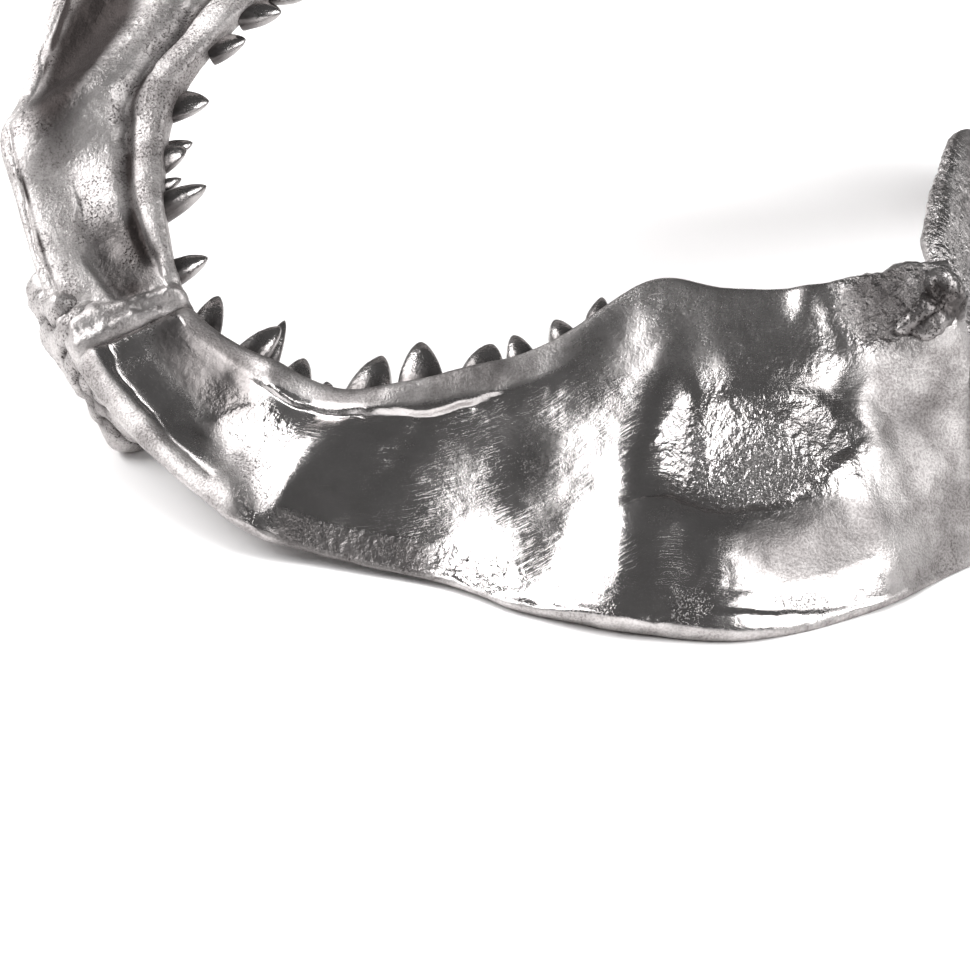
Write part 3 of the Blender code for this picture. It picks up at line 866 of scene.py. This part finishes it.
def cast_aluminium(name, finish, tone):
    """Cast aluminium: mirror-polished where the wheel reached, with fine scratches and an orange-peel
    ripple; satin and pitted where the sand mould's skin was only brushed; grey-black in recesses, partly
    oxide and partly painted shade."""
    material = bpy.data.materials.new(name)
    material.use_nodes = True
    tree = material.node_tree
    shader = tree.nodes["Principled BSDF"]
    shader.inputs["Metallic"].default_value = 1.0
    here = add(tree, "ShaderNodeTexCoord").outputs["Object"]
    # The darkening read here is partly the metal's own grime and pits and partly painted shade.
    grime_and_shade = add(tree, "ShaderNodeAttribute", {"attribute_name": "grime_and_shade"}).outputs["Fac"]
    wear = add(tree, "ShaderNodeAttribute", {"attribute_name": "wear"}).outputs["Vector"]
    satin, hammer, pits = add(tree, "ShaderNodeSeparateXYZ", links={"Vector": wear}).outputs
    lengthwise = add(tree, "ShaderNodeAttribute", {"attribute_name": "lengthwise"}).outputs["Vector"]

    cloud = noise_at(tree, here, CLOUD_SCALE, 6.0, 0.62)
    speck = noise_at(tree, here, SPECK_SCALE, 3.0, 0.6)
    ripple = noise_at(tree, here, RIPPLE_SCALE, 3.0, 0.55)
    stretched = add(tree, "ShaderNodeMapping", {"Scale": BRUSH_SCALE}, {"Vector": lengthwise})
    brushed = noise_at(tree, stretched.outputs[0], 1.0, 5.0, 0.7)

    # Brush marks come and go in clouds, and so do pits, whose clouds are wider where the skin is more pitted.
    marks = math_of(tree, "MULTIPLY", ramp(tree, brushed, 0.52, 0.70), ramp(tree, cloud, 0.28, 0.56))
    where = math_of(tree, "ADD", cloud, math_of(tree, "MULTIPLY", pits, 0.22))
    pit = math_of(tree, "MULTIPLY", ramp(tree, speck, 0.55, 0.66), ramp(tree, where, 0.57, 0.70))
    # Dark pits join the read darkening, which holds painted shade as well as grime.
    dirt_and_shade = math_of(tree, "MULTIPLY", pit, math_of(tree, "MULTIPLY", pits, 0.9))
    dirt_and_shade = math_of(tree, "ADD", dirt_and_shade, grime_and_shade)

    # Satin metal is duller, in stains and flecks, and the recesses are black, partly oxide and partly painted
    # shade.
    stain = ramp(tree, cloud, 0.38, 0.62, 0.0, 0.7)
    fleck = ramp(tree, speck, 0.42, 0.62, 0.0, 0.5)
    oxide = ramp(tree, satin, 0.0, 1.0, 0.25, 0.85)
    dullness = math_of(tree, "MULTIPLY", math_of(tree, "ADD", stain, fleck), oxide)
    bright, dull = (tuple(c * tone for c in metal) for metal in (finish.bright, finish.dull))
    colour = mixed(tree, dirt_and_shade, mixed(tree, dullness, bright, dull), tuple(finish.grime_and_shade))
    tree.links.new(colour, shader.inputs["Base Color"])

    roughness = ramp(tree, satin, 0.0, 1.0, MIRROR_ROUGHNESS, SATIN_ROUGHNESS)
    roughness = math_of(tree, "ADD", roughness, ramp(tree, speck, 0.3, 0.7, -0.03, 0.05))
    roughness = math_of(tree, "ADD", roughness, math_of(tree, "MULTIPLY", dirt_and_shade, 0.2))
    tree.links.new(roughness, shader.inputs["Roughness"])

    peel = add(tree, "ShaderNodeBump", {"Distance": PEEL_DEPTH}, {"Height": ripple, "Strength": hammer})
    scratch = add(tree, "ShaderNodeBump", {"Strength": SCRATCH_STRENGTH, "Distance": SCRATCH_DEPTH},
                  {"Height": marks, "Normal": peel.outputs[0]})
    sunk = add(tree, "ShaderNodeBump", {"Distance": PIT_DEPTH, "invert": True},
               {"Height": pit, "Strength": pits, "Normal": scratch.outputs[0]})
    grain = add(tree, "ShaderNodeBump", {"Distance": GRAIN_DEPTH},
                {"Height": speck, "Strength": satin, "Normal": sunk.outputs[0]})
    tree.links.new(grain.outputs[0], shader.inputs["Normal"])
    return material


def white_paper(colour):
    """Seamless background paper: matte, clean and almost white."""
    material = bpy.data.materials.new("seamless_white_paper")
    material.use_nodes = True
    shader = material.node_tree.nodes["Principled BSDF"]
    shader.inputs["Base Color"].default_value = (*colour, 1.0)
    shader.inputs["Roughness"].default_value = 0.8
    shader.inputs["Specular IOR Level"].default_value = 0.2
    return material


def finished(piece, material, nodes):
    """Gives a piece its metal and puts it in the place of its solids."""
    piece.data.materials.clear()
    piece.data.materials.append(material)
    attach(piece, "root")
    if nodes:
        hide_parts(*nodes)


# ---------------------------------------------------------------- operators

# Jaw halves: stations, forms, folds, skin, teeth, side (1 right, -1 left), folded up or not, and seed.
ARMS = {
    "lower_right": (
        LOWER_STATIONS, LOWER_FORMS, RIGHT_LOWER_FOLDS, right_lower_skin, LOWER_RIGHT_TEETH, 1, False, 11),
    "lower_left": (
        LOWER_STATIONS, LOWER_FORMS, LEFT_LOWER_FOLDS, left_lower_skin, LOWER_LEFT_TEETH, -1, False, 31),
    "upper_right": (
        UPPER_STATIONS, UPPER_FORMS, UPPER_FOLDS, upper_skin, UPPER_TEETH, 1, True, 51),
    "upper_left": (
        UPPER_LEFT_STATIONS, UPPER_FORMS, UPPER_FOLDS, upper_skin, UPPER_TEETH, -1, True, 71),
}
ARM_NODES = {
    "lower_right": "lower_jaw_right",
    "lower_left": "lower_jaw_left",
    "upper_right": "upper_jaw_right",
    "upper_left": "upper_jaw_left",
}

# Knuckles and knobs: name, the solid it replaces, metal, body, side, folded up or not, seed, heights in
# millimetres of the roughness and of the wrinkles, and darkness.
GRISTLE = (
    ("lower_knuckle", "lower_symphysis", "sand_cast_aluminium", LOWER_MIDDLE, 1, False, 91, 0.8, 4.5, 0.0),
    ("upper_knuckle", "upper_symphysis", "sand_cast_aluminium", UPPER_MIDDLE, 1, True, 95, 0.8, 3.5, 0.0),
    ("right_joint", "jaw_joint_right", "rough_cast_aluminium", JOINT_LUMP, 1, False, 97, 1.5, 2.4, 0.6),
    ("left_joint", "jaw_joint_left", "rough_cast_aluminium", JOINT_LUMP, -1, False, 99, 1.5, 2.4, 0.6),
)


class SHARKJAW_OT_arms(bpy.types.Operator):
    """Works the four jaw halves with their lips, ridges and hollows"""
    bl_idname = "sharkjaw.arms"
    bl_label = "Jaw halves"

    def execute(self, context):
        sizes = context.scene.jaw_sizes
        finish = context.scene.cast_finish
        metals = {1: cast_aluminium("polished_cast_aluminium", finish, tone=1.0),
                  -1: cast_aluminium("sand_cast_aluminium", finish, tone=1.05)}
        for key, (stations, forms, folds, skin, _, side, folded, seed) in ARMS.items():
            points, readings = worked_arm(stations, forms, folds, skin, seed, sizes)
            placed = on_floor(laid_down(points * np.array([side, 1, 1]), folded))
            piece = wrapped_sheet(key + "_arm", placed, readings)
            finished(piece, metals[side], [ARM_NODES[key]])
        return {"FINISHED"}


class SHARKJAW_OT_teeth(bpy.types.Operator):
    """Sets every tooth in its lip"""
    bl_idname = "sharkjaw.teeth"
    bl_label = "Teeth"

    def execute(self, context):
        finish = context.scene.cast_finish
        metal = cast_aluminium("polished_tooth_aluminium", finish, tone=0.9)
        for key, (stations, _, _, _, teeth, side, folded, seed) in ARMS.items():
            shapes = [tooth_shape(stations, tooth, side, folded, seed + k) for k, tooth in enumerate(teeth)]
            row = [shaped_ball(f"{key}_tooth_{k}", TOOTH_POINTS, shape) for k, shape in enumerate(shapes)]
            finished(joined(key + "_teeth", row), metal, [])
        return {"FINISHED"}


class SHARKJAW_OT_gristle(bpy.types.Operator):
    """Models the knuckles at the front and the knobs at the joints"""
    bl_idname = "sharkjaw.gristle"
    bl_label = "Knuckles and joints"

    def execute(self, context):
        finish = context.scene.cast_finish
        metals = {"sand_cast_aluminium": cast_aluminium("sand_cast_knuckle_aluminium", finish, tone=0.95),
                  "rough_cast_aluminium": cast_aluminium("rough_cast_aluminium", finish, tone=0.85)}
        for name, node, metal, *body in GRISTLE:
            piece = shaped_ball(name, LUMP_POINTS, lump_shape(*body))
            finished(piece, metals[metal], [node])
        return {"FINISHED"}


class SHARKJAW_OT_stage(bpy.types.Operator):
    """Lays the white paper and sets the soft boxes and the camera"""
    bl_idname = "sharkjaw.stage"
    bl_label = "Studio"

    def execute(self, context):
        studio = context.scene.studio_settings
        deselect()
        bpy.ops.mesh.primitive_plane_add(size=PAPER_SIZE)
        floor = context.object
        floor.name = "paper_floor"
        floor.data.materials.append(white_paper(studio.floor_colour))

        world = bpy.data.worlds.new("dim_studio_room")
        world.use_nodes = True
        background = world.node_tree.nodes["Background"]
        background.inputs["Color"].default_value = (1.0, 1.0, 1.0, 1.0)
        background.inputs["Strength"].default_value = studio.room_grey
        context.scene.world = world

        for name, place, aim, size, power, mirrored in SOFT_BOXES:
            bpy.ops.object.light_add(type="AREA", location=place)
            lamp = context.object
            lamp.name = name
            lamp.data.name = name
            lamp.data.shape = "RECTANGLE"
            lamp.data.size, lamp.data.size_y = size
            lamp.data.energy = power * studio.lamp_power
            lamp.rotation_euler = direction_euler(place, aim)
            lamp.visible_glossy = mirrored

        deselect()
        bpy.ops.object.camera_add(location=CAMERA_PLACE,
                                  rotation=(math.radians(90 - CAMERA_DOWN_DEGREES), 0, 0))
        camera = context.object
        camera.name = "photo_camera"
        camera.data.lens = CAMERA_LENS
        camera.data.sensor_width = CAMERA_SENSOR
        camera.data.sensor_fit = "HORIZONTAL"
        camera.data.clip_end = CAMERA_REACH
        context.scene.camera = camera
        context.scene.view_settings.view_transform = "Standard"
        return {"FINISHED"}


def direction_euler(place, aim):
    """The turn that points a lamp from its place at its aim."""
    from_aim = np.array(place) - np.array(aim)
    flat = math.hypot(from_aim[0], from_aim[1])
    return (math.atan2(flat, from_aim[2]), 0.0, math.atan2(from_aim[1], from_aim[0]) + math.pi / 2)


class SHARKJAW_PT_panel(bpy.types.Panel):
    """Lists the jaw's steps and its main sizes"""
    bl_idname = "SHARKJAW_PT_panel"
    bl_label = "Shark jaw"
    bl_space_type = "VIEW_3D"
    bl_region_type = "UI"
    bl_category = "Shark jaw"

    def draw(self, context):
        for group in (context.scene.jaw_sizes, context.scene.cast_finish, context.scene.studio_settings):
            for key in group.__annotations__:
                self.layout.prop(group, key)
        for step in STEPS:
            self.layout.operator(step.bl_idname)


STEPS = (SHARKJAW_OT_arms, SHARKJAW_OT_teeth, SHARKJAW_OT_gristle, SHARKJAW_OT_stage)
CLASSES = (JawSizes, CastFinish, StudioSettings, *STEPS, SHARKJAW_PT_panel)


def register():
    """Makes the classes and settings known to Blender."""
    for one in CLASSES:
        bpy.utils.register_class(one)
    bpy.types.Scene.jaw_sizes = bpy.props.PointerProperty(type=JawSizes)
    bpy.types.Scene.cast_finish = bpy.props.PointerProperty(type=CastFinish)
    bpy.types.Scene.studio_settings = bpy.props.PointerProperty(type=StudioSettings)


def unregister():
    """Takes the settings and classes back out."""
    del bpy.types.Scene.jaw_sizes
    del bpy.types.Scene.cast_finish
    del bpy.types.Scene.studio_settings
    for one in reversed(CLASSES):
        bpy.utils.unregister_class(one)


def main():
    register()
    bpy.ops.sharkjaw.arms()
    bpy.ops.sharkjaw.teeth()
    bpy.ops.sharkjaw.gristle()
    bpy.ops.sharkjaw.stage()


if __name__ == "__main__":
    main()
